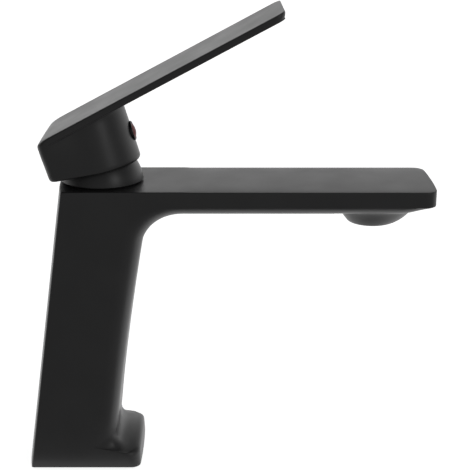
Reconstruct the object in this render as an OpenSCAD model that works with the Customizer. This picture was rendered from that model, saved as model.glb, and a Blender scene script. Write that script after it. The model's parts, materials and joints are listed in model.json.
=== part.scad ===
// Single-lever basin mixer with a leaning column and a flat slab spout.
// Millimetres. The origin is the middle of the base on the deck, +X is the spout side, +Z is up.
// The handle group is drawn in its own frame about the lift pivot and stands at its rest lift.

/* [Body] */
// Width of the column, the spout and the lever plate
body_w = 42; // [40:0.5:44]
// Height of the flat top over the deck
body_h = 129.1; // [129:0.1:131]
// Lean of the column, forward from the foot to the top
column_lean = 8.05; // [7.5:0.05:8.5]
// Depth of the column, front to back
column_depth = 36.6; // [35.5:0.1:37.5]
// Rounding of the column's two front corners
column_corner_r = 9; // [6:0.5:10]
// How far the back of the column bulges in the middle
back_bulge = 2.1; // [1.5:0.1:2.5]
// Distance from the origin to the back of the foot, at its sides
foot_half = 24; // [23.5:0.1:25]
// Distance from the origin to the front of the foot, at its sides
foot_toe = 25; // [24.5:0.1:26]
// Height of the foot
foot_h = 7.5; // [6:0.5:9]
// Rounding of the foot's front corners
foot_corner_r = 4; // [3:0.5:6]

/* [Spout] */
// Distance from the origin to the spout tip
spout_tip_x = 152.6; // [150:0.1:154]
// Thickness of the spout slab
spout_t = 11.2; // [10.8:0.1:11.5]
// Height of the flat side faces of the spout
spout_side_h = 6.8; // [6:0.1:7.5]
// Sideways run of the rounded lower edges
spout_edge_run = 7.5; // [5:0.5:9]
// Rounding of the spout tip's corners
spout_corner_r = 5; // [3:0.5:6]
// Radius of the hollow where the column meets the spout
inner_r = 20.5; // [18:0.5:21]
// Distance from the origin to the outlet axis
outlet_x = 127; // [125:0.5:129]
// Height of the outlet mouth over the deck
outlet_z = 110.9; // [110.5:0.1:112]

/* [Handle] */
// Lift of the lever at rest, from closed
rest_lift = 12; // [10:0.5:14]
// Rise of the lever plate over the hub's own level
plate_rise = 16.1; // [14:0.1:17]
// Distance from the axis to the plate tip, along the hub's level
plate_tip = 91.4; // [85:0.2:92]
// Thickness of the lever plate
plate_t = 3; // [2.5:0.1:3.5]
// Radius of the round front of the hub
hub_r = 19; // [18.8:0.1:19.3]

/* [Collar] */
// Outer radius of the domed collar
collar_r = 18.1; // [17.9:0.1:18.3]
// Radius of the opening in the top of the collar
collar_mouth_r = 10.2; // [10:0.1:10.6]

/* [Cartridge] */
// Distance from the origin to the cartridge axis
axis_x = 10; // [9.8:0.1:10.2]
// Radius of the cartridge housing
housing_r = 12.5; // [12.3:0.1:12.6]
// Half width of the square stem
stem_half = 3.5; // [3.4:0.1:3.6]

/* [Fittings] */
// Wall radius of the M10x1 hose holes
inlet_r = 4.45; // [4.4:0.05:4.5]
// Wall radius of the M8 stud hole
stud_r = 3.35; // [3.3:0.05:3.4]

/* [Hidden] */
$fn = 64;
split_gap = 0.01;
half_w = body_w / 2;
pivot_z = body_h - 1.6;
seat_z = body_h - 25.6;
under_z = body_h - spout_t;
front_x = column_depth - foot_half;
foot_bow = 0.6;
cut = 200;

// Cartridge stack, from the seat up
base_top = seat_z + 3.9;
fixed_top = base_top + 3;
moving_top = fixed_top + 3.8;
plate_top = moving_top + 3;
tower_top = plate_top + 3.5;
turret_z = tower_top + 0.3;
shoulder_z = body_h - 3.6;
cavity_top = shoulder_z - 2;
neck_top = pivot_z + 6.5;
cavity_r = housing_r - 1.7;
neck_r = housing_r - 2.1;
neck_bore_r = neck_r - 1.8;
ball_drop = 8;
port_x = axis_x + 4.2;
port_y = 4.6;
port_r = 2.2;
drain_x = axis_x - 4.2;
drain_r = 2.6;

// Body bores
chamber_r = 14;
thread_r = 15;
thread_z = body_h - 6.5;
inlet_y = 9.5;
inlet_depth = 12;
stud_x = -12.5;
stud_depth = 14;
cavity_x = [-18.6, 10];
cavity_half = 16.8;
cavity_corner = 5;
cavity_h = 16;
gasket_h = 1.6;
gasket_rim = 2.2;
gasket_land = 1.5;
aerator_bore_r = 9.3;
aerator_top = outlet_z + 9.2;
water_z = under_z + 5.2;
water_half = 9;
water_t = 5.2;

// Collar and hub
ball_cavity_r = collar_r + 0.4;
collar_in_r = collar_r - 1.9;
ring_r = collar_in_r - 0.4;
nut_head_r = 14.2;
nut_head_top = body_h + 2.4;
index_z = 20;
index_r = 4.3;
wall_x = 18.3;
top_z = 32.5;

// A rectangle from x0 to x1 and -half to half, with rounded corners
module rounded_rect(x0, x1, half, r) {
    translate([x0, -half + r]) square([x1 - x0, 2 * (half - r)]);
    translate([x0 + r, -half]) square([x1 - x0 - 2 * r, 2 * half]);
    for (x = [x0 + r, x1 - r], y = [-half + r, half - r]) translate([x, y]) circle(r);
}

// A rectangle with only its two front corners rounded
module front_rounded(x0, x1, half, r) {
    translate([x0, -half]) square([x1 - x0 - r, 2 * half]);
    translate([x0, -half + r]) square([x1 - x0, 2 * (half - r)]);
    for (y = [-half + r, half - r]) translate([x1 - r, y]) circle(r);
}

// The disc whose edge bows outward by rise across the body's width and touches x = 0 at the sides
module bow(rise, x = 0, dir = -1) {
    r = (half_w * half_w + rise * rise) / (2 * rise);
    translate([x - dir * (r - rise), 0]) circle(r, $fn = 180);
}

// Moves children to the cartridge axis at the height z
module on_axis(z = 0) {
    translate([axis_x, 0, z]) children();
}

// Places children drawn in the handle's own frame
module lifted() {
    on_axis(pivot_z) rotate([0, -rest_lift, 0]) children();
}

// A ring from z0 to z1 between two radii
module ring(z0, z1, r_in, r_out) {
    translate([0, 0, z0]) difference() {
        cylinder(r = r_out, h = z1 - z0);
        translate([0, 0, -1]) cylinder(r = r_in, h = z1 - z0 + 2);
    }
}

// A straight bore from point a to point b
module bore(a, b, r) {
    d = b - a;
    flat = norm([d[0], d[1]]);
    translate(a) rotate([0, atan2(flat, d[2]), atan2(d[1], d[0])]) cylinder(r = r, h = norm(d));
}

// ---------------------------------------------------------------- body

module column() {
    over = 0.1;
    translate([-foot_half, 0, 0]) rotate([0, column_lean, 0]) translate([0, 0, -20])
        linear_extrude(body_h + 60) intersection() {
            front_rounded(-back_bulge, column_depth * cos(column_lean), half_w + over, column_corner_r + over);
            bow(back_bulge);
        }
}

// The toe in front of the column; its back edge is hidden inside the column
module foot() {
    over = 0.2;
    translate([0, 0, -1]) linear_extrude(foot_h + 1) intersection() {
        front_rounded(-foot_half / 2, foot_toe + foot_bow, half_w + over, foot_corner_r + over);
        bow(foot_bow, foot_toe, 1);
    }
}

// One side of the spout's cross-section: the lower edge is a quarter of an ellipse
function spout_edge(side, over) = [
    for (a = [0:15:90]) [
        side * (half_w + over - spout_edge_run * (1 - cos(a))),
        under_z + (spout_t - spout_side_h) * (1 - sin(a))
    ]
];

module spout() {
    over = 0.3;
    rise_x = outlet_x + 13;
    edge = spout_edge(-1, over);
    intersection() {
        translate([axis_x, 0, 0]) rotate([90, 0, 90]) linear_extrude(spout_tip_x)
            polygon(concat([[-half_w - over, body_h + 1], [half_w + over, body_h + 1]], spout_edge(1, over),
                [for (i = [len(edge) - 1:-1:0]) edge[i]]));
        translate([0, 0, under_z - 1]) linear_extrude(spout_t + 3) intersection() {
            front_rounded(axis_x - 1, spout_tip_x, half_w + over, spout_corner_r + over);
            bow(foot_bow, spout_tip_x - foot_bow, 1);
        }
        translate([rise_x, -cut / 2, under_z]) rotate([0, -17, 0]) translate([-cut, 0, 0])
            cube([2 * cut, cut, cut]);
    }
}

// The sweep that joins the column to the spout round the inner hollow
module elbow() {
    edge_r = 7;
    half = half_w + 0.4;
    z = under_z - inner_r;
    x = front_x + z * tan(column_lean) + inner_r / cos(column_lean);
    translate([x, 0, z]) rotate([90, 0, 0]) rotate([0, 0, 90]) rotate_extrude(angle = 90 - column_lean) {
        translate([inner_r + edge_r, -half]) square([5, 2 * half]);
        translate([inner_r, -half + edge_r]) square([edge_r + 1, 2 * (half - edge_r)]);
        for (y = [-1, 1]) translate([inner_r + edge_r, y * (half - edge_r)]) circle(edge_r);
    }
}

module outlet_boss() {
    translate([outlet_x, 0, outlet_z]) rotate_extrude() polygon([
        [0, 0], [10.6, 0], [11.6, 0.6], [12.6, 2], [13.6, 3.8], [14.6, 5.4], [16, under_z - outlet_z + 1], [0, 10]
    ]);
}

module waterways() {
    // Cartridge chamber, nut thread and locating holes
    on_axis(seat_z) cylinder(r = chamber_r, h = 40);
    on_axis(thread_z) cylinder(r = thread_r, h = 40);
    for (x = [-9, 9]) on_axis(seat_z - 3) translate([x, 0, 0]) cylinder(r = 1.6, h = 4);
    // Hot and cold, from the hose threads up to the seat
    for (y = [-1, 1]) {
        translate([0, y * inlet_y, cavity_h - 1]) cylinder(r = inlet_r, h = inlet_depth + 1);
        bore([0, y * inlet_y, cavity_h + inlet_depth - 1], [port_x, y * port_y, seat_z + 1], 2.8);
    }
    translate([stud_x, 0, cavity_h - 1]) cylinder(r = stud_r, h = stud_depth + 1);
    // Mixed water, from the chamber to the outlet
    for (y = [-6, 0, 6]) bore([axis_x + 8, y, under_z - 1.2], [axis_x + 36, y, water_z], 3);
    translate([axis_x + 32, -water_half, water_z - water_t / 2]) cube([outlet_x - axis_x - 32, 2 * water_half, water_t]);
    translate([outlet_x, 0, outlet_z - 1]) cylinder(r = aerator_bore_r, h = aerator_top - outlet_z + 1);
    translate([outlet_x, 0, outlet_z]) cylinder(r = 7, h = water_z + water_t / 2 - outlet_z);
}

module base_cavity() {
    translate([0, 0, -1]) linear_extrude(cavity_h + 1)
        rounded_rect(cavity_x[0], cavity_x[1], cavity_half, cavity_corner);
}

// The flat ring of the gasket's recess
module gasket_outline() {
    difference() {
        intersection() {
            front_rounded(-foot_half, foot_toe - gasket_rim, half_w - gasket_rim, foot_corner_r);
            translate([-foot_half + gasket_rim, 0]) bow(back_bulge);
        }
        rounded_rect(cavity_x[0] - gasket_land, cavity_x[1] + gasket_land, cavity_half + gasket_land,
            cavity_corner + gasket_land);
    }
}

// The casting's branches differ a little in width and height, and one block trims them all flush
module casting() {
    intersection() {
        union() {
            column();
            foot();
            spout();
            elbow();
            outlet_boss();
        }
        translate([-cut, -half_w, 0]) cube([2 * cut, body_w, body_h]);
    }
}

module body() {
    color([0.05, 0.05, 0.055]) difference() {
        casting();
        waterways();
        base_cavity();
        translate([0, 0, -1]) linear_extrude(gasket_h + 1) gasket_outline();
    }
}

module base_gasket() {
    color([0.12, 0.12, 0.12]) linear_extrude(gasket_h) gasket_outline();
}

// ---------------------------------------------------------------- cartridge

module cartridge_base() {
    color([0.85, 0.85, 0.82]) on_axis() difference() {
        union() {
            translate([0, 0, seat_z]) cylinder(r = housing_r - 0.1, h = base_top - seat_z);
            for (x = [-9, 9]) translate([x, 0, seat_z - 2.5]) cylinder(r = 1.5, h = 3);
        }
        for (y = [-port_y, port_y]) translate([port_x - axis_x, y, 0]) {
            translate([0, 0, seat_z - 1]) cylinder(r = port_r, h = 10);
            translate([0, 0, seat_z - 1]) cylinder(r = port_r + 1.4, h = 2);
            translate([0, 0, base_top - 1]) cylinder(r = port_r + 1.2, h = 3);
        }
        translate([drain_x - axis_x, 0, seat_z + 1.2]) cylinder(r = drain_r, h = 10);
        translate([-20, -drain_r, seat_z + 1.2]) cube([20 + drain_x - axis_x, 2 * drain_r, 1.5]);
    }
}

module base_seals() {
    color([0.1, 0.1, 0.1]) on_axis() for (y = [-port_y, port_y])
        translate([port_x - axis_x, y, 0]) ring(seat_z, seat_z + 1, port_r, port_r + 1.4);
}

module disc_seals() {
    color([0.1, 0.1, 0.1]) on_axis() for (y = [-port_y, port_y])
        translate([port_x - axis_x, y, 0]) ring(base_top - 1, base_top, port_r, port_r + 1.2);
}

module fixed_disc() {
    color([0.92, 0.9, 0.84]) on_axis(base_top) difference() {
        cylinder(r = cavity_r - 0.2, h = fixed_top - base_top);
        for (y = [-port_y, port_y]) translate([port_x - axis_x, y, -1]) cylinder(r = port_r, h = 6);
        translate([drain_x - axis_x, 0, -1]) cylinder(r = drain_r, h = 6);
    }
}

module moving_disc() {
    color([0.95, 0.94, 0.9]) on_axis(fixed_top) difference() {
        cylinder(r = 8.6, h = moving_top - fixed_top);
        translate([-1.2, 0, -1]) cylinder(r = 5, h = 3);
    }
}

module disc_carrier() {
    ball_x = ball_drop * sin(rest_lift);
    color([0.75, 0.75, 0.72]) on_axis(moving_top) difference() {
        union() {
            translate([-6.5, -6.3, 0]) cube([13, 12.6, plate_top - moving_top]);
            translate([ball_x, 0, 0]) cylinder(r = 3.9, h = tower_top - moving_top);
        }
        translate([ball_x, 0, 1.2]) cylinder(r = 2.5, h = 10);
    }
}

module cartridge_housing() {
    color([0.9, 0.9, 0.88]) on_axis() difference() {
        union() {
            translate([0, 0, base_top]) cylinder(r = housing_r, h = shoulder_z - base_top);
            translate([0, 0, shoulder_z - 1]) cylinder(r = neck_r, h = neck_top - shoulder_z + 1);
        }
        translate([0, 0, base_top - 1]) cylinder(r = cavity_r, h = cavity_top - base_top + 1);
        translate([0, 0, cavity_top - 1]) cylinder(r = neck_bore_r, h = 20);
    }
}

module housing_ring() {
    ring_z = thread_z - 1;
    gap = chamber_r - housing_r;
    color([0.1, 0.1, 0.1]) on_axis(ring_z) rotate_extrude() translate([housing_r + gap / 2, 0]) circle(gap / 2);
}

module cartridge_turret() {
    color([0.3, 0.45, 0.6]) on_axis() difference() {
        union() {
            translate([0, 0, turret_z]) cylinder(r = cavity_r - 0.2, h = cavity_top - 0.2 - turret_z);
            translate([0, 0, turret_z]) cylinder(r = neck_bore_r - 0.2, h = neck_top - turret_z);
            intersection() {
                translate([0, 0, moving_top + 0.4]) cylinder(r = cavity_r - 0.3, h = turret_z - moving_top);
                for (y = [-1, 1]) translate([-5, y * 9.6 - 3, 0]) cube([10, 6, 200]);
            }
        }
        translate([-6.4, -2.7, turret_z - 1]) cube([11, 5.4, 40]);
        translate([0, -20, pivot_z]) rotate([-90, 0, 0]) cylinder(r = 1.25, h = 40);
    }
}

module stem_pin() {
    color([0.75, 0.76, 0.78]) on_axis(pivot_z) translate([0, -8, 0]) rotate([-90, 0, 0]) cylinder(r = 1.25, h = 16);
}

module cartridge_stem() {
    color([0.8, 0.81, 0.83]) lifted() difference() {
        union() {
            translate([0, 0, -ball_drop]) sphere(r = 2.3);
            translate([0, 0, -ball_drop]) cylinder(r = 1.5, h = ball_drop);
            translate([0, -2.5, 0]) rotate([-90, 0, 0]) cylinder(r = 3, h = 5);
            translate([-1.5, -2.5, 0]) cube([3, 5, 12]);
            translate([-stem_half, -stem_half, 11]) cube([2 * stem_half, 2 * stem_half, 14.5]);
        }
        translate([0, -10, 0]) rotate([-90, 0, 0]) cylinder(r = 1.3, h = 20);
    }
}

module cartridge_nut() {
    color([0.78, 0.66, 0.38]) on_axis() difference() {
        union() {
            translate([0, 0, thread_z + 0.2]) cylinder(r = thread_r - 0.1, h = body_h - thread_z - 0.3);
            translate([0, 0, thread_z + 0.2]) cylinder(r = nut_head_r, h = nut_head_top - thread_z - 0.2);
        }
        translate([0, 0, thread_z - 1]) cylinder(r = housing_r + 0.2, h = shoulder_z - thread_z + 1.1);
        translate([0, 0, thread_z]) cylinder(r = neck_r + 0.2, h = 20);
        // Spanner notches in the head
        for (a = [0:60:300]) rotate([0, 0, a]) translate([nut_head_r - 1.6, -1.5, body_h + 0.4])
            cube([4, 3, 4]);
    }
}

module collar_ring() {
    color([0.2, 0.2, 0.2]) on_axis() ring(body_h + 0.1, body_h + 2.6, nut_head_r + 0.05, ring_r - 0.05);
}

module collar() {
    color([0.05, 0.05, 0.055]) on_axis(pivot_z) difference() {
        sphere(r = collar_r, $fn = 128);
        sphere(r = collar_in_r, $fn = 128);
        translate([0, 0, -40 + body_h - pivot_z]) cylinder(r = 40, h = 40);
        cylinder(r = ring_r, h = body_h - pivot_z + 3.2);
        cylinder(r = collar_mouth_r, h = 40);
        // Small relief round the lower edge
        translate([0, 0, body_h - pivot_z - 1]) ring(0, 1.6, collar_r - 0.75, collar_r + 2);
    }
}

// ---------------------------------------------------------------- handle

module hub_plan() {
    circle(hub_r, $fn = 128);
    polygon([[0, -hub_r], [-15.8, -half_w + 0.3], [-15.8, half_w - 0.3], [0, hub_r]]);
    for (y = [-1, 1]) translate([-16.1, y * (half_w - 4.8)]) circle(4.5);
    translate([-20.9, -half_w + 4.8]) square([16, body_w - 9.6]);
}

// Side view of the hub: the raked walls, the bevelled rim and the slope under the plate
module hub_side() {
    slope = tan(plate_rise);
    polygon([
        [-17.5, 9], [17.1, 7.9], [hub_r, 10.1], [17.4, 30.5], [17.4, top_z - 1 + 17.4 * slope],
        [-16, top_z - 0.6 - 16 * slope], [-18.4, 26.4], [-20, 25.2], [-20.7, 23.6], [-20.1, 10.9]
    ]);
}

module lever_plate() {
    tip = plate_tip / cos(plate_rise);
    translate([0, 0, top_z]) rotate([0, -plate_rise, 0]) translate([0, 0, -plate_t]) linear_extrude(plate_t)
        front_rounded(-17, tip, half_w, 4);
}

module handle() {
    color([0.05, 0.05, 0.055]) lifted() difference() {
        union() {
            intersection() {
                linear_extrude(60) hub_plan();
                rotate([90, 0, 0]) translate([0, 0, -half_w]) linear_extrude(body_w) hub_side();
            }
            lever_plate();
        }
        sphere(r = ball_cavity_r, $fn = 128);
        translate([-stem_half - 0.05, -stem_half - 0.05, 0]) cube([2 * stem_half + 0.1, 2 * stem_half + 0.1, 25.7]);
        translate([0, 0, index_z]) rotate([0, 90, 0]) cylinder(r = 2.5, h = 30);
        translate([12.4, 0, index_z]) rotate([0, 90, 0]) cylinder(r = index_r - 0.25, h = 30);
    }
}

module set_screw() {
    color([0.35, 0.35, 0.36]) lifted() translate([stem_half, 0, index_z]) rotate([0, 90, 0]) difference() {
        cylinder(r = 2.45, h = 7);
        translate([0, 0, 4]) cylinder(r = 1.44, h = 5, $fn = 6);
    }
}

// The button: a spigot in the hub and a flange outside it, hollow for the two colour inserts
module index_bezel() {
    color([0.03, 0.03, 0.03]) lifted() translate([12.5, 0, index_z]) rotate([0, 90, 0]) difference() {
        union() {
            cylinder(r = index_r - 0.3, h = wall_x - 12.5 + 0.4);
            translate([0, 0, wall_x - 12.5 + 0.2]) cylinder(r = index_r, h = 1.4);
        }
        translate([0, 0, 4.2]) cylinder(r = 3.5, h = 10);
    }
}

// One half of the domed insert, hot on -Y and cold on +Y
module insert_half(side) {
    lifted() translate([16.8, side * split_gap, index_z]) rotate([0, 90, 0]) rotate([0, 0, side < 0 ? 180 : 0])
        rotate_extrude(angle = 180) intersection() {
            square([3.45, 6]);
            translate([0, -9]) circle(12, $fn = 180);
        }
}

module hot_insert() {
    color([0.6, 0.03, 0.05]) insert_half(-1);
}

module cold_insert() {
    color([0.03, 0.12, 0.55]) insert_half(1);
}

// ---------------------------------------------------------------- outlet

module aerator_seal() {
    color([0.1, 0.1, 0.1]) translate([outlet_x, 0, 0]) ring(aerator_top - 1.2, aerator_top, 7, aerator_bore_r - 0.1);
}

module aerator_shell() {
    color([0.12, 0.12, 0.13]) translate([outlet_x, 0, 0]) difference() {
        union() {
            ring(outlet_z + 0.4, aerator_top - 1.2, 7.9, aerator_bore_r - 0.1);
            ring(outlet_z + 0.4, outlet_z + 1.6, 7, aerator_bore_r - 0.1);
        }
        // Key slots in the rim
        for (a = [45:90:315]) rotate([0, 0, a]) translate([8.2, -0.8, outlet_z - 1]) cube([3, 1.6, 2.4]);
    }
}

module aerator_insert() {
    color([0.85, 0.86, 0.86]) translate([outlet_x, 0, outlet_z + 4.4]) difference() {
        cylinder(r = 7.8, h = 3.4);
        for (a = [0:45:315]) rotate([0, 0, a]) translate([5.2, 0, -1]) cylinder(r = 0.7, h = 6);
        translate([0, 0, 1.2]) cylinder(r = 3, h = 6);
    }
}

module aerator_screens() {
    color([0.7, 0.71, 0.72]) translate([outlet_x, 0, 0]) for (z = [1.7, 2.9])
        translate([0, 0, outlet_z + z]) cylinder(r = 7.8, h = 0.5);
}

body();
base_gasket();
cartridge_base();
base_seals();
disc_seals();
fixed_disc();
moving_disc();
disc_carrier();
cartridge_housing();
housing_ring();
cartridge_turret();
stem_pin();
cartridge_stem();
cartridge_nut();
collar_ring();
collar();
handle();
set_screw();
index_bezel();
hot_insert();
cold_insert();
aerator_seal();
aerator_shell();
aerator_insert();
aerator_screens();
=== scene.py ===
"""Looks of a matt black single-lever basin mixer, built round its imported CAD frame.

Shapes are worked out in millimetres and become metres when a mesh is made. The handle group is drawn in its
own frame about the lift pivot, as in the CAD model, and stands at its rest lift.
"""

import json
import math

import bmesh
import bpy
from mathutils import Matrix, Vector


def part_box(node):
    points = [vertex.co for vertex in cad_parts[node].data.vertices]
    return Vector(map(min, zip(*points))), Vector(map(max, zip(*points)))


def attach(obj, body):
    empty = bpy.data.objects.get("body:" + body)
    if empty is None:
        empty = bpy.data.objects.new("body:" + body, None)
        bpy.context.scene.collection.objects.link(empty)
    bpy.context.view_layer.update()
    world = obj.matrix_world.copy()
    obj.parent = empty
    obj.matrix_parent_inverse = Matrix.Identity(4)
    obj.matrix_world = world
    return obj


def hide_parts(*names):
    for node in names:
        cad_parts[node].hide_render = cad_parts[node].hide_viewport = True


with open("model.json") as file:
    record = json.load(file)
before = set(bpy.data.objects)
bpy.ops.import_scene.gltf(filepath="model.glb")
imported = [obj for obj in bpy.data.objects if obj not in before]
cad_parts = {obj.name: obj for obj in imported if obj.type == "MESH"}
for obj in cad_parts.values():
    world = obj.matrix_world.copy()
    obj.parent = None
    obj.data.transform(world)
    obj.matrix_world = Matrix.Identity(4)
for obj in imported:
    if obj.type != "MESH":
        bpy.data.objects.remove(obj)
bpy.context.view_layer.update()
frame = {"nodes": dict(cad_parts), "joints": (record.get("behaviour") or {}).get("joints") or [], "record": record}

MM = 0.001
SLIVER = 2e-6  # metres; shorter edges left by a cut are merged
SHARP = 35  # degrees; sharper edges are not shaded smooth
nodes = frame["nodes"]
joints = {joint["name"]: joint for joint in frame["joints"]}

# Driving sizes, from the frame
body_low, body_high = (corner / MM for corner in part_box("body"))
HALF = body_high.y
TOP = body_high.z
TIP = body_high.x
PIVOT = Vector(joints["lever_lift"]["pos_m"]) / MM
OUTLET_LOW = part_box("aerator_shell")[0] / MM
OUTLET_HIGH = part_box("aerator_shell")[1] / MM
OUTLET_X = (OUTLET_LOW.x + OUTLET_HIGH.x) / 2

# Column and foot
BULGE = 2.3  # how far the back bows out
BACK_X = body_low.x + BULGE
BACK_SLOPE = math.tan(math.radians(8.05))
BACK_R = 0.8
FRONT_X = 13.96
FRONT_LEAN = 0.074
FRONT_HOLLOW = 0.00053
FRONT_TUCK = 0.65
TUCK_TOP = 85
COLUMN_R = 9
COLUMN_LOW_R = 7.6
COLUMN_R_TOP = 90
FOOT_X = 25
FOOT_BOW = 0.6
FOOT_R = 3.6
FOOT_FILLET = 6.5
TOE_TOP_R = 5.5
TOE_LEAN = 0.25
TOE_EDGE_R = 2.4
TOE_SPREAD = 2.2
TOE_CROWN = 2.4
BASE_CORNER = 10.5
BASE_CORNER_Z = 12
COLUMN_FROM = 30
SWEEP_REACH = 8
SWEEP_RISE = 7.5
SWEEP_TURN = 6  # points over which the sweep changes its size
CREASE_HIGH = 9.8
CREASE_LOW = 7.3
CREASE_RUN = 17
SIDE_EDGE_R = 0.35
SIDE_EDGE_X = 14
SIDE_EDGE_RUN = 9
DECK_EDGE = 0.2

# Spout
UNDER = TOP - 11.1
SIDE_H = 6.8
EDGE_RUN = 7.5
EDGE_MIN = 0.9
HOLLOW_X = 18.0
HOLLOW_Z = 16.5
ELBOW_EASE = 1.4
TIP_R = 4.6
TIP_TURN = 80
TIP_END_TURN = 82
TIP_END_STEP = 0.3
TIP_END_R = 0.5
TIP_END_DEPTH = 0.06
TIP_BOW = 0.5
TIP_BOW_RUN = 12
TIP_RISE = 3.2
EDGE_R = 0.4
CROWN = 0.3
CRISP = math.radians(22)
RISE_FROM = 10

# Outlet and inner bores
MOUTH_Z = OUTLET_LOW.z - 0.4
BORE_R = 9.3
SEAT_Z = TOP - 25.6
CHAMBER_R = 14
THREAD_Z = TOP - 6.5
THREAD_R = 15
THREAD_CREST_R = 14.55
THREAD_PITCH = 1.0
RECESS_R = 15.4
RECESS_H = 0.8
CAVITY = (-18.6, 10, 16.8, 5)
CAVITY_H = 16
GASKET_SEAT = (-20.1, 11.5, 18.3, 6.5)
GASKET_H = 0.6
INLET_Y = 9.5
INLET_R = 4.45
INLET_DEPTH = 12
FEED_R = 2.8
FEED_X = 4.2
FEED_Y = 4.6
DRAIN_X = 9
DRAIN_R = 1.6
STUD_X = -12.5
STUD_R = 3.35
STUD_DEPTH = 14
WATER_Z = UNDER + 5.2
MIXED_R = 2.9
MIXED_Y = 6
CHANNEL_HALF = 9
CHANNEL_H = 2.6
OPEN = 1  # how far a cutter reaches past an open end

# Handle
LIFT = math.radians(12)
RISE = math.radians(16.05)
HUB_R = 18.9
HUB_BACK = 19.1
HUB_RAKE = math.tan(math.radians(3.5))
HUB_LEVEL = 9.7
NOSE_RAKE = 0.07
HUB_CORNER = 3.4
HUB_HALF = 19.3
HUB_BOW = 0.3
SOCKET_HALF = 3.55
SOCKET_TOP = 25.7
BALL_R = 18.5
RIM = 7.9
RIM_RISE = 0.03
PLATE_T = 3.0
PLATE_TOP = 32.5
PLATE_TIP = 91.1
PLATE_CORNER = 4
PLATE_FROM = 6
PLATE_FILLET = 1.2
PLATE_Z = 24
WALL_FROM = RIM + 2.4
INDEX_Z = 20
INDEX_WALL = 18.0
BEZEL_R = 4.25
BEZEL_FACE = 18.7
SPIGOT_X = 12.5
SPIGOT_CHAMFER = 0.3
POCKET_X = 16.7
SCREW_R = 2.5
DOME_R = 3.55
DOME_RISE = 1.0
DOME_SEAM = 0.05
SCREEN_R = 7.75
SCREEN_PITCH = 0.85
WIRE_R = 0.12
COLLAR_R = 18.1
COLLAR_T = 1.9
COLLAR_MOUTH_R = 10.2


# ---------------- small tools

def mix(a, b, t):
    """The number or vector a fraction t of the way from a to b."""
    return a + (b - a) * t


def smooth(t):
    """0 to 1 with a level start and end."""
    t = min(max(t, 0.0), 1.0)
    return t * t * (3 - 2 * t)


def steps(count, first=0, last=1):
    """count + 1 even numbers from first to last."""
    return [mix(first, last, i / count) for i in range(count + 1)]


def make_object(name, mesh, angle=SHARP):
    """An object for a bmesh drawn in millimetres, smooth but for edges sharper than angle."""
    bmesh.ops.remove_doubles(mesh, verts=mesh.verts, dist=1e-4)
    bmesh.ops.recalc_face_normals(mesh, faces=mesh.faces)
    data = bpy.data.meshes.new(name)
    mesh.to_mesh(data)
    mesh.free()
    data.transform(Matrix.Scale(MM, 4))
    data.polygons.foreach_set("use_smooth", [True] * len(data.polygons))
    data.set_sharp_from_angle(angle=math.radians(angle))
    piece = bpy.data.objects.new(name, data)
    bpy.context.scene.collection.objects.link(piece)
    return piece


def add_loop(mesh, points):
    """A list of new vertices at the points."""
    return [mesh.verts.new(point) for point in points]


def bridge(mesh, one, two):
    """Quads between two closed loops of the same length."""
    count = len(one)
    for i in range(count):
        j = (i + 1) % count
        mesh.faces.new((one[i], one[j], two[j], two[i]))


def skin(mesh, loops):
    """Lofts a list of closed point loops and returns their vertices."""
    made = [add_loop(mesh, loop) for loop in loops]
    for one, two in zip(made, made[1:]):
        bridge(mesh, one, two)
    return made


def lathe(mesh, profile, centre, axis="Z", segments=96):
    """Turns (radius, height) points about an axis through centre. A radius of 0 closes the end."""
    rows = []
    for radius, height in profile:
        if radius == 0:
            turned = [(0, 0, height)]
        else:
            angles = [2 * math.pi * i / segments for i in range(segments)]
            turned = [(radius * math.cos(a), radius * math.sin(a), height) for a in angles]
        if axis == "X":
            turned = [(z, y, -x) for x, y, z in turned]
        rows.append([mesh.verts.new(Vector(point) + Vector(centre)) for point in turned])
    for one, two in zip(rows, rows[1:]):
        if len(one) == 1 and len(two) == 1:
            continue
        for i in range(segments):
            j = (i + 1) % segments
            corners = [one[i % len(one)], one[j % len(one)], two[j % len(two)], two[i % len(two)]]
            mesh.faces.new(list(dict.fromkeys(corners)))
    return rows


def prism(mesh, outline, z0, z1):
    """A closed block: a plan outline drawn up from z0 to z1."""
    low, high = ([mesh.verts.new((x, y, z)) for x, y in outline] for z in (z0, z1))
    bridge(mesh, low, high)
    mesh.faces.new(low)
    mesh.faces.new(high)


def rod(mesh, start, end, radius, segments=32):
    """A closed round rod between two points."""
    start, end = Vector(start), Vector(end)
    turn = (end - start).to_track_quat("Z", "Y").to_matrix()
    angles = steps(segments, 0, 2 * math.pi)[:-1]
    ring = [Vector((radius * math.cos(a), radius * math.sin(a), 0)) for a in angles]
    low, high = ([mesh.verts.new(spot + turn @ point) for point in ring] for spot in (start, end))
    bridge(mesh, low, high)
    mesh.faces.new(low)
    mesh.faces.new(high)


def carve(piece, meshes):
    """Cuts closed meshes, drawn in millimetres, out of a piece, one after another."""
    cutters = [make_object("cutter", mesh) for mesh in meshes]
    for cutter in cutters:
        cut = piece.modifiers.new("cut", "BOOLEAN")
        cut.operation = "DIFFERENCE"
        cut.solver = "EXACT"
        cut.object = cutter
    bpy.context.view_layer.update()
    shape = piece.evaluated_get(bpy.context.evaluated_depsgraph_get())
    data = bpy.data.meshes.new_from_object(shape)
    piece.modifiers.clear()
    piece.data = data
    # The cuts leave slivers where a bore's seam meets a flat face
    clean = bmesh.new()
    clean.from_mesh(data)
    bmesh.ops.remove_doubles(clean, verts=clean.verts, dist=SLIVER)
    bmesh.ops.triangulate(clean, faces=[face for face in clean.faces if len(face.verts) > 4])
    bmesh.ops.dissolve_degenerate(clean, edges=clean.edges, dist=SLIVER)
    clean.to_mesh(data)
    clean.free()
    data.set_sharp_from_angle(angle=math.radians(SHARP))
    for cutter in cutters:
        bpy.data.objects.remove(cutter)


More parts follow.
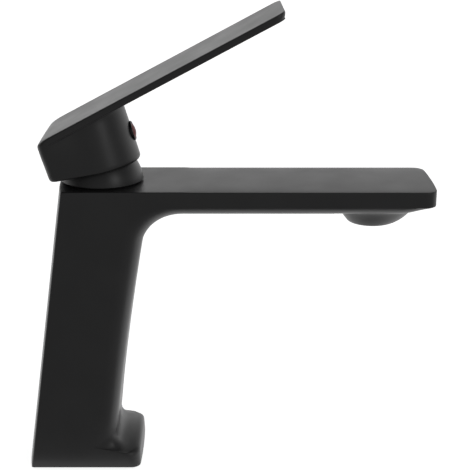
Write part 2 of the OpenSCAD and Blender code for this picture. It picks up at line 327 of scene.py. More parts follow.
def arc(centre, radius, first, last, count):
    """(radius, height) points of an arc, its angles in degrees."""
    return [
        (centre[0] + radius * math.cos(math.radians(a)), centre[1] + radius * math.sin(math.radians(a)))
        for a in steps(count, first, last)
    ]


def lifted(piece):
    """Moves a piece drawn in the handle's own frame to its place at rest."""
    place = Matrix.Translation(PIVOT * MM) @ Matrix.Rotation(-LIFT, 4, "Y")
    piece.data.transform(place)
    return piece


# ---------------- materials

def new_material(name):
    material = bpy.data.materials.new(name)
    material.use_nodes = True
    tree = material.node_tree
    return material, tree, tree.nodes["Principled BSDF"]


def noise(tree, scale, detail=3.0):
    """A 3-D texture in the piece's own coordinates; scale is in features per metre."""
    coordinates = tree.nodes.new("ShaderNodeTexCoord")
    texture = tree.nodes.new("ShaderNodeTexNoise")
    texture.inputs["Scale"].default_value = scale
    texture.inputs["Detail"].default_value = detail
    tree.links.new(coordinates.outputs["Object"], texture.inputs["Vector"])
    return texture


def ramp(tree, source, low, high, start=0.3, end=0.7):
    """A colour ramp from low to high over a texture's output."""
    node = tree.nodes.new("ShaderNodeValToRGB")
    node.color_ramp.elements[0].position = start
    node.color_ramp.elements[0].color = (*low, 1)
    node.color_ramp.elements[1].position = end
    node.color_ramp.elements[1].color = (*high, 1)
    tree.links.new(source, node.inputs["Fac"])
    return node


def remap(tree, source, low, high, start=0.3, end=0.7):
    """The source's range from start to end, moved to the range from low to high."""
    node = tree.nodes.new("ShaderNodeMapRange")
    node.inputs["From Min"].default_value = start
    node.inputs["From Max"].default_value = end
    node.inputs["To Min"].default_value = low
    node.inputs["To Max"].default_value = high
    tree.links.new(source, node.inputs["Value"])
    return node.outputs["Result"]


def product(tree, one, two):
    """Two outputs multiplied."""
    node = tree.nodes.new("ShaderNodeMath")
    node.operation = "MULTIPLY"
    tree.links.new(one, node.inputs[0])
    tree.links.new(two, node.inputs[1])
    return node.outputs["Value"]


def add_bump(tree, shader, height, distance, strength, below=None):
    """Relief on a shader from a texture, over an earlier bump where one is given."""
    bump = tree.nodes.new("ShaderNodeBump")
    bump.inputs["Strength"].default_value = strength
    bump.inputs["Distance"].default_value = distance
    tree.links.new(height, bump.inputs["Height"])
    if below is not None:
        tree.links.new(below.outputs["Normal"], bump.inputs["Normal"])
    tree.links.new(bump.outputs["Normal"], shader.inputs["Normal"])
    return bump


def surface(name, low, high, rough, grain, depth, strength, metallic, specular, patch):
    """A finish whose colour and roughness drift in patches, with a fine grain in relief.

    low and high are the ends of its colour, rough those of its roughness. grain and patch are in features
    per metre; depth and strength are the relief's.
    """
    material, tree, shader = new_material(name)
    drift = noise(tree, patch)
    tree.links.new(ramp(tree, drift.outputs["Fac"], low, high).outputs["Color"], shader.inputs["Base Color"])
    tree.links.new(remap(tree, drift.outputs["Fac"], *rough), shader.inputs["Roughness"])
    shader.inputs["Metallic"].default_value = metallic
    shader.inputs["Specular IOR Level"].default_value = specular
    fine = noise(tree, grain, 4.0)
    add_bump(tree, shader, fine.outputs["Fac"], depth, strength)
    return material


def black_coat(name):
    """Matt black powder coat: a fine even grain over a soft, slightly wavy film."""
    dark, light = (0.014, 0.014, 0.0145), (0.018, 0.018, 0.0185)
    material = surface(name, dark, light, (0.36, 0.42), 2600, 2e-5, 0.25, 0, 0.5, 60)
    tree = material.node_tree
    wave = noise(tree, 260, 2)
    fine = next(node for node in tree.nodes if node.bl_idname == "ShaderNodeBump")
    add_bump(tree, tree.nodes["Principled BSDF"], wave.outputs["Fac"], 2e-5, 0.15, below=fine)
    return material


COAT = black_coat("black_coat")


# ---------------- body

BACK_STEPS = 10
BACK_ARC = 6
SIDE_STEPS = 10
FRONT_ARC = 12
FRONT_STEPS = 7
HALF_COUNT = BACK_STEPS + BACK_ARC + SIDE_STEPS + FRONT_ARC + FRONT_STEPS
TOE_ARC = 5


def half_section(length, back_r, corner_w, corner_y, half=HALF, crisp=0.0):
    """Half of a cross-section as (depth, y), from the middle of the back to the middle of the front. crisp is
    the angle at which the front rounding starts off the side, 0 where the two run into each other."""
    points = [(0, y) for y in steps(BACK_STEPS, 0, half - back_r)]
    points += [
        (back_r * (1 - math.sin(a)), half - back_r * (1 - math.cos(a)))
        for a in steps(BACK_ARC, math.pi / 2, 0)[1:]
    ]
    points += [(w, half) for w in steps(SIDE_STEPS, back_r, length - corner_w)[1:]]
    for a in steps(FRONT_ARC, crisp, math.pi / 2)[1:]:
        down = (1 - math.sin(a)) / (1 - math.sin(crisp))
        inward = 1 - math.cos(a) / math.cos(crisp)
        points.append((length - corner_w * down, half - corner_y * inward))
    points += [(length, y) for y in steps(FRONT_STEPS, half - corner_y, 0)[1:]]
    return points


def full_loop(half):
    """Mirrors half a loop of 3-D points, from y >= 0, across the XZ plane."""
    return half + [Vector((p.x, -p.y, p.z)) for p in reversed(half[1:-1])]


def section_loop(back, front, back_r, corner_w, corner_y, bulge=0.0, crisp=0.0, half=HALF, crown=0.0):
    """The closed loop of a cross-section that runs from the point back to the point front, both (x, z)."""
    back, front = Vector(back), Vector(front)
    along = front - back
    length = along.length
    along.normalize()
    points = []
    for index, (w, y) in enumerate(half_section(length, back_r, corner_w, corner_y, half, crisp)):
        spot = back + along * w
        on_back = index <= BACK_STEPS + BACK_ARC
        shift = bulge * (1 - (y / half) ** 2) if on_back else 0
        rise = crown * (0.5 - (y / half) ** 4) if on_back else 0
        points.append(Vector((spot.x - shift, y, spot.y + rise)))
    return full_loop(points)


def back_x(z):
    """The corner between the back and the sides of the column."""
    return BACK_X + BACK_SLOPE * z


def front_x(z):
    """The middle of the column's front face: it leans and hollows a little."""
    return FRONT_X + FRONT_LEAN * z + FRONT_HOLLOW * z * z - FRONT_TUCK * (1 - smooth(z / TUCK_TOP))


def column_r(z):
    """Radius of the column's front corners, tighter towards the foot."""
    return mix(COLUMN_LOW_R, COLUMN_R, smooth(z / COLUMN_R_TOP))


def under_mid(x):
    """Height of the middle of the spout's underside, which rises to the tip."""
    return UNDER + TIP_RISE * smooth((x - OUTLET_X - RISE_FROM) / (TIP - OUTLET_X - RISE_FROM))


def edge_height(x):
    """Height of the rounded lower edge of the spout."""
    return max(EDGE_MIN, TOP - SIDE_H - under_mid(x))


def under_z(x, y):
    """Height of the underside at any point."""
    run = (abs(y) - (HALF - EDGE_RUN)) / EDGE_RUN
    cosine = min(1.0, max(0.0, run)) * math.cos(CRISP)
    lift = (1 - math.sqrt(1 - cosine * cosine)) / (1 - math.sin(CRISP))
    return under_mid(x) + edge_height(x) * lift


def foot_loops():
    """Loops from the deck up over the toe and its sweep into the plain column."""
    flush_count = BACK_STEPS + BACK_ARC + SIDE_STEPS
    straight = FRONT_ARC - TOE_ARC

    def column_half(z, corner_w):
        loop = section_loop((back_x(z), z), (front_x(z), z), BACK_R, corner_w, column_r(z), BULGE)
        return loop[:HALF_COUNT + 1]

    base = column_half(BASE_CORNER_Z, BASE_CORNER)
    upper = column_half(COLUMN_FROM, column_r(COLUMN_FROM))
    turn_x = base[flush_count].x

    def column(k, z):
        """Point k of the column's outline at a height."""
        return mix(base[k], upper[k], (z - BASE_CORNER_Z) / (COLUMN_FROM - BASE_CORNER_Z))

    def crown(y):
        return TOE_CROWN * (1 - (y / HALF) ** 2)

    def crease(x, y=HALF):
        """Height of the toe's top edge, which rises and runs out on the sides of the column."""
        return mix(CREASE_HIGH, CREASE_LOW, smooth((x - turn_x) / CREASE_RUN)) + crown(y)

    def foot_half(inset, share, level):
        """Half outline of the foot, at a share of the way from the deck to the toe's top edge; level(x, y)
        gives each point's height."""
        radius = mix(FOOT_R, TOE_TOP_R, share)
        toe_x = FOOT_X - TOE_LEAN * share
        plan = half_section(FOOT_X - BACK_X, BACK_R, FOOT_R, FOOT_R, HALF - inset)
        plan = plan[:BACK_STEPS + BACK_ARC + 1]
        points = []
        for w, y in plan:
            z = level(BACK_X, HALF)
            x = BACK_X + inset + w + BACK_SLOPE * z - BULGE * (1 - (y / HALF) ** 2)
            points.append(Vector((x, y, z)))
        start = points[-1].x
        front = [(mix(start, turn_x, t), HALF - inset) for t in steps(SIDE_STEPS)[1:]]
        stretch = toe_x - radius - base[flush_count + straight].x
        for k, t in enumerate(steps(straight)[1:], flush_count + 1):
            front.append((base[k].x + stretch * t ** TOE_SPREAD, HALF - inset))
        front += [
            (toe_x - inset - radius * (1 - math.sin(a)), HALF - inset - radius * (1 - math.cos(a)))
            for a in steps(TOE_ARC, 0, math.pi / 2)[1:]
        ]
        front += [(toe_x - inset, y) for y in steps(FRONT_STEPS, HALF - inset - radius, 0)[1:]]
        for x, y in front:
            bow = FOOT_BOW * (1 - (y / HALF) ** 2) * max(0, x / FOOT_X)
            points.append(Vector((x + bow, y, level(x, y))))
        return points

    edge = foot_half(0, 1, crease)

    def slide(k, share, rise):
        """Point k moved from the toe's edge towards the column by a share of the gap, and up by rise."""
        low = edge[k]
        if k <= flush_count:
            return low.copy()
        across = column(k, low.z + rise)
        y = mix(low.y, across.y, share)
        return Vector((mix(low.x, across.x, share), y, low.z - crown(low.y) + crown(y) + rise))

    gaps = [math.dist(low.xy, column(k, low.z).xy) if k > flush_count else 0 for k, low in enumerate(edge)]

    def sweep_sizes(k):
        """How far the sweep at point k reaches over the toe and up the column."""
        turn = k - flush_count
        away = smooth((turn - straight) / SWEEP_TURN)
        reach = min(gaps[k], mix(SWEEP_REACH, FOOT_FILLET, away))
        return reach, mix(SWEEP_RISE, FOOT_FILLET, away) * smooth(turn / straight)

    def toe_top(share):
        """The top, from the toe's edge to the start of the sweep."""
        points = []
        for k, gap in enumerate(gaps):
            part = 1 - sweep_sizes(k)[0] / gap if gap > 1e-6 else 0
            points.append(slide(k, share * part, 0))
        return points

    def sweep_loop(angle):
        """The hollow sweep up to the column at an angle round it."""
        points = []
        for k, gap in enumerate(gaps):
            reach, rise = sweep_sizes(k)
            part = 1 - reach / gap * (1 - math.sin(angle)) if gap > 1e-6 else 0
            points.append(slide(k, part, rise * (1 - math.cos(angle))))
        return points

    def soften(angle):
        """The toe's rounded upper edge; it fades out along the sides."""
        points = []
        for k, gap in enumerate(gaps):
            full = mix(SIDE_EDGE_R, TOE_EDGE_R, smooth((edge[k].x - SIDE_EDGE_X) / SIDE_EDGE_RUN))
            radius = full * min(1.0, gap / 4)
            share = radius * (1 - math.cos(angle)) / gap if gap > 1e-6 else 0
            points.append(slide(k, share, radius * (math.sin(angle) - 1)))
        return points

    chamfer = ((DECK_EDGE, 0), (0, DECK_EDGE))
    loops = [full_loop(foot_half(inset, 0, lambda x, y, z=z: z)) for inset, z in chamfer]
    for part in (0.35, 0.65, 0.85):
        side = foot_half(0, part, lambda x, y, s=part: mix(DECK_EDGE, crease(x, y) - TOE_EDGE_R, s))
        loops.append(full_loop(side))
    loops += [full_loop(soften(math.radians(a))) for a in (0, 20, 40, 60, 80, 90)]
    loops += [full_loop(toe_top(share)) for share in (0.6, 1)]
    loops += [full_loop(sweep_loop(math.radians(a))) for a in (12, 24, 36, 48, 60, 70, 80, 90)]
    ends = sweep_loop(math.pi / 2)
    for t in (0.25, 0.5, 0.75):
        loops.append(full_loop([column(k, mix(end.z, COLUMN_FROM, t)) for k, end in enumerate(ends)]))
    return loops


def spine():
    """The sections up the column and the elbow, as arguments of section_loop, and the hollow's centre."""
    lean = (front_x(UNDER - HOLLOW_Z) - front_x(UNDER - HOLLOW_Z - 4)) / 4
    first = math.atan(lean * HOLLOW_Z / HOLLOW_X)
    first_z = UNDER - HOLLOW_Z * (1 - math.sin(first))
    centre = Vector((front_x(first_z) + HOLLOW_X * math.cos(first), UNDER - HOLLOW_Z))
    start = math.pi - first
    corner = Vector((back_x(TOP), TOP))
    turn = math.atan2(corner.y - centre.y, corner.x - centre.x)

    def back_of(angle):
        """Where the ray from the hollow's centre leaves the back or the top of the body."""
        ray = Vector((math.cos(angle), math.sin(angle)))
        if angle < turn:
            return centre + ray * ((TOP - centre.y) / ray.y)
        reach = (back_x(centre.y) - centre.x) / (ray.x - BACK_SLOPE * ray.y)
        return centre + ray * reach

    def front_of(angle):
        """The point of the elliptical hollow at an angle."""
        return centre + Vector((HOLLOW_X * math.cos(angle), HOLLOW_Z * math.sin(angle)))

    first_front = front_of(start)
    droop = first_front.y - back_of(start).y
    sections = []
    for t in steps(18):
        z = mix(COLUMN_FROM, first_front.y, t)
        back_z = z - droop * smooth(t)
        sections.append(((back_x(back_z), back_z), (front_x(z), z), BACK_R, column_r(z), column_r(z), BULGE))

    def elbow(angle, back=None):
        """The section on a ray from the hollow's centre, with its rear point moved to back if given."""
        front = front_of(angle)
        t = smooth((start - angle) / (start - math.pi / 2))
        corner_w = mix(COLUMN_R, TOP - SIDE_H - UNDER, t ** ELBOW_EASE)
        corner_y = mix(COLUMN_R, EDGE_RUN, t)
        on_back = angle >= turn
        back_r = BACK_R if on_back else EDGE_R
        return (back or back_of(angle), front, back_r, corner_w, corner_y, BULGE * on_back, CRISP * t)

    before = [start + (turn - start) * t for t in steps(9)[1:-1]]
    after = [turn + (math.pi / 2 - turn) * t for t in steps(12)[1:]]
    sections += [elbow(angle) for angle in before]
    # The upper back edge, rounded by three loops
    down = Vector((BACK_SLOPE, 1)).normalized()
    for offset in (down * -0.6, down * -0.18 + Vector((0.04, 0)), Vector((0.18, -0.04)), Vector((0.6, 0))):
        sections.append(elbow(turn, back=corner + offset))
    sections += [elbow(angle) for angle in after]
    return sections, centre


def spout_sections(first_x):
    """Upright loops along the spout, dense round the outlet, and the rounded tip."""
    loops = []
    stops = steps(20, first_x, OUTLET_X - BOSS_FROM)[1:]
    stops += steps(26, OUTLET_X - BOSS_FROM, OUTLET_X + BOSS_TO)[1:]

    def add(x, top, low, edge, half=HALF):
        size = (EDGE_R, edge, EDGE_RUN, 0, CRISP)
        loops.append(section_loop((x, top), (x, low), *size, half=half, crown=CROWN))

    for x in stops:
        add(x, TOP, under_mid(x), edge_height(x))
    for a in steps(8, 0, TIP_TURN)[1:]:
        a = math.radians(a)
        x = TIP - TIP_R + TIP_R * math.sin(a)
        add(x, TOP, under_mid(x), edge_height(x), HALF - TIP_R * (1 - math.cos(a)))
    for a in (30, 60, 90):
        a = math.radians(a)
        inset = TIP_END_R * (1 - math.cos(a))
        x = TIP - TIP_END_DEPTH * (1 - math.sin(a))
        half = HALF - TIP_R * (1 - math.cos(math.radians(TIP_END_TURN))) - inset - TIP_END_STEP
        add(x, TOP - inset, under_mid(TIP) + inset, edge_height(TIP), half)
    # The tip face is bowed: the sides stand back from the middle
    for loop in loops:
        for point in loop:
            share = smooth((point.x - TIP + TIP_BOW_RUN) / TIP_BOW_RUN)
            point.x -= TIP_BOW * share * (point.y / HALF) ** 2
    return loops


def fill_cap(mesh, ring):
    """Fills a section loop with a regular grid of quads (a Coons patch)."""
    across = BACK_STEPS + BACK_ARC // 2
    down = BACK_ARC // 2 + SIDE_STEPS + FRONT_ARC // 2
    half = HALF_COUNT
    count = 2 * half
    back = [ring[i % count] for i in range(across, -across - 1, -1)]
    left = ring[across:across + down + 1]
    front = [ring[i] for i in range(across + down, count - across - down + 1)]
    right = [ring[-i] for i in range(across, across + down + 1)]
    rows = [back]
    columns = len(back) - 1
    for i in range(1, down):
        v = i / down
        row = [left[i]]
        for j in range(1, columns):
            u = j / columns
            spot = mix(back[j].co, front[j].co, v) + mix(left[i].co, right[i].co, u)
            corners = mix(mix(back[0].co, back[-1].co, u), mix(front[0].co, front[-1].co, u), v)
            row.append(mesh.verts.new(spot - corners))
        row.append(right[i])
        rows.append(row)
    rows.append(front)
    for one, two in zip(rows, rows[1:]):
        for j in range(columns):
            mesh.faces.new((one[j], one[j + 1], two[j + 1], two[j]))


# Outlet boss: (radius, share of the drop from the underside to the mouth)
BOSS_PROFILE = [
    (15.6, 0.0), (15.2, 0.04), (14.7, 0.11), (14.2, 0.2), (13.5, 0.34), (12.85, 0.48),
    (12.15, 0.63), (11.5, 0.76), (11.0, 0.85), (10.5, 0.935), (10.1, 0.985), (9.9, 1.0)
]
BOSS_FLARE = 5.4
BOSS_FROM = 18
BOSS_TO = 20.5
# Bore over the mouth: (radius, height over the mouth)
BORE_PROFILE = [(BORE_R + 0.25, 0.06), (BORE_R, 0.4), (BORE_R, 9.2), (7, 9.2), (7, 13.5), (3.5, 13.6)]


def outlet_boss(mesh, border):
    """The outlet's round boss: loops from a border in the underside to the mouth and into the bore."""
    spokes = []
    for vert in border:
        angle = math.atan2(vert.co.y, vert.co.x - OUTLET_X)
        spokes.append((vert.co.copy(), Vector((math.cos(angle), math.sin(angle)))))

    def follow(ring, points):
        """Bridges a ring to a new loop of points and returns that."""
        loop = add_loop(mesh, points)
        bridge(mesh, ring, loop)
        return loop

    # One loop half way to the boss
    points = []
    for start, ray in spokes:
        reach = BOSS_PROFILE[0][0] + BOSS_FLARE * max(0, ray.x) ** 2
        x = mix(start.x, OUTLET_X + ray.x * reach, 0.5)
        y = mix(start.y, ray.y * reach, 0.5)
        points.append((x, y, under_z(x, y)))
    ring = follow(border, points)
    for radius, drop in BOSS_PROFILE:
        points = []
        for _, ray in spokes:
            reach = radius + BOSS_FLARE * (1 - drop) ** 0.6 * max(0, ray.x) ** 2
            x, y = OUTLET_X + ray.x * reach, ray.y * reach
            points.append((x, y, mix(under_z(x, y), MOUTH_Z, drop)))
        ring = follow(ring, points)
    for radius, high in BORE_PROFILE:
        z = MOUTH_Z + high
        ring = follow(ring, [(OUTLET_X + ray.x * radius, ray.y * radius, z) for _, ray in spokes])
    mesh.faces.new(ring)


def build_body():
    mesh = bmesh.new()
    sections, centre = spine()
    loops = foot_loops()
    loops += [section_loop(*section) for section in sections]
    straight = len(loops)
    loops += spout_sections(centre.x)
    rows = [add_loop(mesh, loop) for loop in loops]
    count = len(rows[0])
    # The block of underside quads that the outlet boss replaces
    first = HALF_COUNT - FRONT_STEPS - 5
    last = HALF_COUNT + FRONT_STEPS + 5
    spans = [rows[k][HALF_COUNT].co.x - OUTLET_X for k in range(straight, len(rows))]
    inside = [straight + k for k, x in enumerate(spans) if -BOSS_FROM - 0.1 < x < BOSS_TO + 0.1]
    low, high = inside[0], inside[-1]
    for k in range(len(rows) - 1):
        for i in range(count):
            if low <= k < high and first <= i < last:
                continue
            j = (i + 1) % count
            mesh.faces.new((rows[k][i], rows[k][j], rows[k + 1][j], rows[k + 1][i]))
    border = [rows[low][i] for i in range(first, last + 1)]
    border += [rows[k][last] for k in range(low + 1, high + 1)]
    border += [rows[high][i] for i in range(last - 1, first - 1, -1)]
    border += [rows[k][first] for k in range(high - 1, low, -1)]
    outlet_boss(mesh, border)
    fill_cap(mesh, rows[0])
    fill_cap(mesh, rows[-1])
    return make_object("body_casting", mesh)


def rounded_outline(x0, x1, half, radius):
    """A rectangle's outline with four rounded corners."""
    points = []
    for x, y, first in ((x1 - radius, half - radius, 0), (x0 + radius, half - radius, 90),
                        (x0 + radius, radius - half, 180), (x1 - radius, radius - half, 270)):
        points += arc((x, y), radius, first, first + 90, 8)
    return points


def body_cutters():
    """The casting's bores: chamber and thread, water ways, drains, stud and hose holes, base cavity."""
    cutters = []

    def cutter(build, shape):
        mesh = bmesh.new()
        build(mesh, *shape)
        cutters.append(mesh)

    def drill(start, end, radius):
        cutter(rod, (start, end, radius))

    chamber = [(0, SEAT_Z), (CHAMBER_R, SEAT_Z), (CHAMBER_R, THREAD_Z)]
    turns = int((TOP - RECESS_H - THREAD_Z) / THREAD_PITCH)
    for k in range(turns):
        chamber.append((THREAD_R, THREAD_Z + k * THREAD_PITCH))
        chamber.append((THREAD_CREST_R, THREAD_Z + (k + 0.5) * THREAD_PITCH))
    chamber.append((THREAD_R, THREAD_Z + turns * THREAD_PITCH))
    chamber += [(RECESS_R, TOP + 0.3), (RECESS_R, TOP + 9), (0, TOP + 9)]
    cutter(lathe, (chamber, (PIVOT.x, 0, 0)))
    for side in (-1, 1):
        y = side * INLET_Y
        top = CAVITY_H + INLET_DEPTH
        drain_x = PIVOT.x + side * DRAIN_X
        drill((0, y, top - OPEN), (PIVOT.x + FEED_X, side * FEED_Y, SEAT_Z + OPEN), FEED_R)
        drill((0, y, CAVITY_H - OPEN), (0, y, top), INLET_R)
        drill((drain_x, 0, SEAT_Z - 3), (drain_x, 0, SEAT_Z + OPEN), DRAIN_R)
    drill((STUD_X, 0, CAVITY_H - OPEN), (STUD_X, 0, CAVITY_H + STUD_DEPTH), STUD_R)
    for y in (-MIXED_Y, 0, MIXED_Y):
        drill((PIVOT.x + 8, y, UNDER - 1.2), (PIVOT.x + 36, y, WATER_Z), MIXED_R)
    near, far = PIVOT.x + 32, OUTLET_X + 2
    channel = [(near, -CHANNEL_HALF), (far, -CHANNEL_HALF), (far, CHANNEL_HALF), (near, CHANNEL_HALF)]
    cutter(prism, (channel, WATER_Z - CHANNEL_H, WATER_Z + CHANNEL_H))
    cutter(prism, (rounded_outline(*CAVITY), -OPEN, CAVITY_H))
    cutter(prism, (rounded_outline(*GASKET_SEAT), -OPEN, GASKET_H))
    return cutters


casting = build_body()
carve(casting, body_cutters())
casting.data.materials.append(COAT)
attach(casting, "fixed_body")
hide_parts("body")


# ---------------- handle

REAR_STEPS = 10
REAR_ARC = 8
FLARE_STEPS = 10
NOSE_STEPS = 24


def hub_half(z, inset=0.0, flush=0.0):
    """Half outline of the hub at the height z, from the middle of the back to the middle of the front.
    flush moves the sides out to the plate's edge."""
    rake = HUB_RAKE * (z - HUB_LEVEL)
    back = -HUB_BACK - rake + inset
    wide = mix(HUB_HALF, HALF - 0.06, flush) - inset
    nose = HUB_R - NOSE_RAKE * (z - HUB_LEVEL) - inset
    shift = -0.3 * rake
    corner = max(HUB_CORNER - inset, 0.5)
    points = [(back - HUB_BOW * (1 - (y / wide) ** 2), y) for y in steps(REAR_STEPS, 0, wide - corner)]
    points += [
        (back + corner * (1 - math.cos(a)), wide - corner * (1 - math.sin(a)))
        for a in steps(REAR_ARC, 0, math.pi / 2)[1:]
    ]
    start = back + corner
    for t in steps(FLARE_STEPS)[1:]:
        x = mix(start, shift, t)
        points.append((x, mix(wide, nose, smooth(t))))
    points += [
        (shift + nose * math.sin(a), nose * math.cos(a)) for a in steps(NOSE_STEPS, 0, math.pi / 2)[1:]
    ]
    return points


def plate_half(inset=0.0):
    """Half outline of the plate with the same number of points, as (x, y) in the handle's own frame."""
    wide = HALF - inset
    rear = hub_half(PLATE_Z, inset, 1)[:REAR_STEPS + REAR_ARC + 1]
    scale = wide / rear[-1][1]
    points = [(x, y * scale) for x, y in rear]
    start = points[-1][0]
    points += [(mix(start, PLATE_FROM, t), wide) for t in steps(FLARE_STEPS)[1:]]
    tip = PLATE_TIP - inset
    corner = max(PLATE_CORNER - inset, 0.4)
    side = NOSE_STEPS // 2
    bend = NOSE_STEPS // 4
    points += [(x, wide) for x in steps(side, PLATE_FROM, tip - corner)[1:]]
    points += [
        (tip - corner * (1 - math.sin(a)), wide - corner * (1 - math.cos(a)))
        for a in steps(bend, 0, math.pi / 2)[1:]
    ]
    points += [(tip, y) for y in steps(NOSE_STEPS - side - bend, wide - corner, 0)[1:]]
    return points


def plate_level(x, depth):
    """Height of the plane at a depth under the plate's top."""
    return PLATE_TOP - depth / math.cos(RISE) + math.tan(RISE) * x


# The plate's edge, from below to its top: (inset, depth under the top, pull at the tip, pull at the rear)
PLATE_EDGE = [
    (0, PLATE_T - 0.5, 0.7, 0), (0, PLATE_T - 1.1, 0.32, 0), (0, PLATE_T - 1.9, 0.06, 0.3), (0, 0.6, 0, 1.2),
    (0.09, 0.28, 0, 1.9), (0.3, 0.07, 0, 2.7), (0.6, 0, 0, 3.5), (1.2, 0, 0, 3.8)
]


def build_handle():
    mesh = bmesh.new()
    loops = []

    def add(points):
        loops.append(full_loop([Vector(p) for p in points]))

    def rim_z(x):
        """The rim's plane rises a little to the back."""
        return RIM + RIM_RISE * (HUB_R - x)

    rim = hub_half(RIM, 1.6)
    bearings = [math.atan2(y, x) for x, y in rim]

    def square_reach(a):
        """From the axis to the wall of the stem's square socket, at the bearing a."""
        return SOCKET_HALF / max(abs(math.cos(a)), abs(math.sin(a)))

    def rim_polar(a):
        """Angle from the ball's top to the rim's plane, at the bearing a."""
        polar = math.acos(RIM / BALL_R)
        for _ in range(6):
            polar = math.acos(rim_z(BALL_R * math.sin(polar) * math.cos(a)) / BALL_R)
        return polar

    # The socket, then the ball-shaped cavity down to the rim
    add([(square_reach(a) * math.cos(a), square_reach(a) * math.sin(a), SOCKET_TOP) for a in bearings])
    for t in steps(14):
        points = []
        for a in bearings:
            polar = mix(math.asin(square_reach(a) / BALL_R), rim_polar(a), t)
            out = BALL_R * math.sin(polar)
            points.append((out * math.cos(a), out * math.sin(a), BALL_R * math.cos(polar)))
        add(points)
    # The rim and its rounded bevel
    for inset, high in ((1.6, 0), (1.05, 0.04), (0.55, 0.22), (0.2, 0.6), (0.04, 1.1)):
        add([(x, y, rim_z(x) + high) for x, y in hub_half(RIM + high, inset)])
    # The walls rise to the sloping underside of the plate
    for t in steps(10):
        points = []
        for index, (x, y) in enumerate(hub_half(mix(WALL_FROM, PLATE_Z, t), 0, smooth(t))):
            top = plate_level(x, PLATE_T) - PLATE_FILLET
            z = mix(WALL_FROM + rim_z(x) - RIM, top, t)
            x, y = hub_half(z, 0, smooth(t))[index]
            points.append((x, y, z))
        add(points)
    wall = [Vector(p) for p in loops[-1][:len(bearings)]]
    # 0 where the wall is flush with the plate's edge, 1 where the plate stands out
    stands = [smooth((math.dist(spot, one.xy) - 0.3) / 1.2) for spot, one in zip(plate_half(), wall)]

    def outline(inset):
        """The plate's outline, pulled in only where it stands out from the wall."""
        return [mix(Vector(a), Vector(b), k) for a, b, k in zip(plate_half(), plate_half(inset), stands)]

    edge = [Vector((x, y, plate_level(x, PLATE_T))) for x, y in outline(0.45)]

    # The rounded corner between the wall and the plate's underside, then that underside
    for a in (20, 40, 60, 80):
        points = []
        for one, two in zip(wall, edge):
            gap = (two.xy - one.xy).length
            share = min(1.0, PLATE_FILLET / gap) if gap > 1e-6 else 1.0
            run = share * (1 - math.cos(math.radians(a)))
            x, y = mix(one.x, two.x, run), mix(one.y, two.y, run)
            sink = mix(PLATE_FILLET, 0, math.sin(math.radians(a)))
            points.append((x, y, plate_level(x, PLATE_T) - sink))
        add(points)
    for share in (0.35, 0.6, 0.8, 0.93):
        points = []
        for one, two in zip(wall, edge):
            x, y = mix(one.x, two.x, share), mix(one.y, two.y, share)
            points.append((x, y, plate_level(x, PLATE_T)))
        add(points)
    add(edge)

    def edge_loop(inset, depth, tip_pull, rear_pull, around=plate_half):
        points = []
        for x, y in around(inset):
            tip = smooth((x - PLATE_TIP + 12) / 9)
            rear = smooth((-x - 13) / 3)
            x = x - tip_pull * tip + rear_pull * rear
            points.append((x, y, plate_level(x, depth)))
        return points

    add(edge_loop(0.12, PLATE_T - 0.14, 1.1, 0.0, outline))
    for row in PLATE_EDGE:
        add(edge_loop(*row))
    rows = skin(mesh, loops)
    mesh.faces.new(rows[0])
    mesh.faces.new(rows[-1])
    return lifted(make_object("handle_lever", mesh))


lever = build_handle()
bores = [bmesh.new(), bmesh.new()]
outside = (26, 0, INDEX_Z)
rod(bores[0], (0, 0, INDEX_Z), outside, SCREW_R)
rod(bores[1], (SPIGOT_X - 0.1, 0, INDEX_Z), outside, BEZEL_R - 0.2, 48)
place = Matrix.Translation(PIVOT) @ Matrix.Rotation(-LIFT, 4, "Y")
for bore in bores:
    bmesh.ops.transform(bore, matrix=place, verts=bore.verts)
carve(lever, bores)
lever.data.materials.append(COAT)
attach(lever, "lever")
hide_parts("handle")


# ---------------- collar

def build_collar():
    mesh = bmesh.new()
    outer = COLLAR_R
    inner = outer - COLLAR_T
    foot = TOP - PIVOT.z
    mouth = COLLAR_MOUTH_R
    low_angle = math.degrees(math.asin((foot + 0.9) / outer))
    mouth_angle = math.degrees(math.acos((mouth + 0.4) / outer))
    inner_angle = math.degrees(math.acos(mouth / inner))
    ring_angle = math.degrees(math.acos((inner - 0.4) / inner))
    profile = [(inner - 0.4, foot), (outer - 1.3, foot)]
    profile += arc((outer - 1.3, foot + 0.6), 0.6, -80, -10, 5)
    profile += [(outer - 0.45, foot + 0.72)]
    profile += arc((0, 0), outer, low_angle, mouth_angle, 28)
    profile += [(mouth + 0.1, math.sqrt(outer ** 2 - (mouth + 0.4) ** 2) - 0.1)]
    profile += [(mouth, inner * math.sin(math.radians(inner_angle)))]
    profile += arc((0, 0), inner, inner_angle, ring_angle, 14)[1:]
    profile += [(inner - 0.4, foot)]
    lathe(mesh, profile, PIVOT, segments=128)
    return make_object("collar_dome", mesh, angle=40)


dome = build_collar()
dome.data.materials.append(COAT)
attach(dome, "fixed_body")
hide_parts("collar")


# ---------------- hot and cold button

def raked(mesh):
    """Leans the outer end of a button piece back with the hub's wall."""
    for vert in mesh.verts:
        vert.co.x -= NOSE_RAKE * (vert.co.z - INDEX_Z) * smooth((vert.co.x - 13) / 4)
    return mesh


